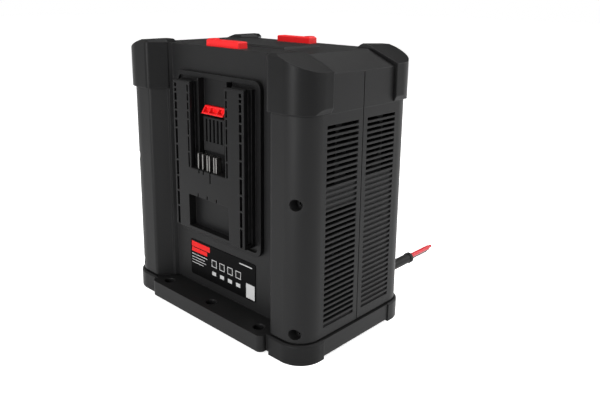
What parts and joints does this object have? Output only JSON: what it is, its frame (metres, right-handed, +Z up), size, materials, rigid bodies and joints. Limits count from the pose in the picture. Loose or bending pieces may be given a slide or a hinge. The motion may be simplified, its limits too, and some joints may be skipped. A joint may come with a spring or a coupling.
{
  "type": "power tool battery charger",
  "caption": "Upright battery charger with pack docks on opposite faces, red release buttons, corner bumpers, vented sides and a flanged base with bolt holes.",
  "frame": {"origin": "centre of the footprint on the floor, without the lead", "axes": "+Z up, the front dock faces -Y, the rear dock faces +Y, the vented sides face +X and -X"},
  "size_m": [0.2336, 0.231, 0.2482],
  "materials": {
    "shell_plastic": "fine matt texture",
    "bumper_rubber": "satin moulded rubber",
    "dock_plastic": "fine matt texture",
    "blade_metal": "bright",
    "spring_steel": "bright",
    "plate_film": "satin film with blank fields",
    "screw_steel": "black oxide",
    "boot_rubber": "smooth",
    "tinned_wire": "tinned strands",
    "red_sheath": "smooth",
    "black_sheath": "smooth",
    "fan_plastic": "smooth",
    "board_laminate": "solder mask",
    "standoff_plastic": "smooth",
    "core_metal": "varnished laminations",
    "sink_aluminium": "extruded",
    "can_aluminium": "sleeved cans",
    "red_plastic": "satin moulded plastic"
  },
  "bodies": {
    "charger": {"base_tray": "shell_plastic", "foot_front_right": "bumper_rubber", "foot_front_left": "bumper_rubber", "foot_rear_left": "bumper_rubber", "foot_rear_right": "bumper_rubber", "front_shell": "shell_plastic", "rear_shell": "shell_plastic", "top_cap": "shell_plastic", "bumper_front_right": "bumper_rubber", "bumper_front_left": "bumper_rubber", "bumper_rear_left": "bumper_rubber", "bumper_rear_right": "bumper_rubber", "front_dock_frame": "dock_plastic", "front_terminal_block": "dock_plastic", "front_terminal_blades": "blade_metal", "front_button_spring": "spring_steel", "rear_dock_frame": "dock_plastic", "rear_terminal_block": "dock_plastic", "rear_terminal_blades": "blade_metal", "rear_button_spring": "spring_steel", "label_plate": "plate_film", "tie_screws": "screw_steel", "base_screws": "screw_steel", "cable_boot": "boot_rubber", "red_wire": "red_sheath", "red_wire_tip": "tinned_wire", "black_wire": "black_sheath", "black_wire_tip": "tinned_wire", "fan_frame_right": "fan_plastic", "fan_frame_left": "fan_plastic", "control_board": "board_laminate", "board_standoffs": "standoff_plastic", "transformer": "core_metal", "heat_sink": "sink_aluminium", "capacitors": "can_aluminium"},
    "front_button": {"front_release_button": "red_plastic"},
    "rear_button": {"rear_release_button": "red_plastic"},
    "front_latch_bar": {"front_latch": "red_plastic"},
    "rear_latch_bar": {"rear_latch": "red_plastic"},
    "right_fan": {"fan_rotor_right": "fan_plastic"},
    "left_fan": {"fan_rotor_left": "fan_plastic"}
  },
  "joints": [
    {"name": "front_button_press", "type": "slide", "parent": "charger", "child": "front_button", "axis": [0, 0, -1], "range_m": [0, 0.005], "stiffness_N_per_m": 400, "springref_m": -0.003, "deforming": ["front_button_spring"]},
    {"name": "front_latch_draw", "type": "slide", "parent": "charger", "child": "front_latch_bar", "axis": [0, 1, 0], "range_m": [0, 0.004]},
    {"name": "rear_button_press", "type": "slide", "parent": "charger", "child": "rear_button", "axis": [0, 0, -1], "range_m": [0, 0.005], "stiffness_N_per_m": 400, "springref_m": -0.003, "deforming": ["rear_button_spring"]},
    {"name": "rear_latch_draw", "type": "slide", "parent": "charger", "child": "rear_latch_bar", "axis": [0, -1, 0], "range_m": [0, 0.004]},
    {"name": "right_fan_spin", "type": "hinge", "parent": "charger", "child": "right_fan", "pos_m": [0.1, 0, 0.172], "axis": [1, 0, 0], "continuous": true},
    {"name": "left_fan_spin", "type": "hinge", "parent": "charger", "child": "left_fan", "pos_m": [-0.1, 0, 0.172], "axis": [-1, 0, 0], "continuous": true}
  ],
  "couplings": [
    {"joint": "front_latch_draw", "follows": "front_button_press", "ratio": 0.8},
    {"joint": "rear_latch_draw", "follows": "rear_button_press", "ratio": 0.8}
  ]
}
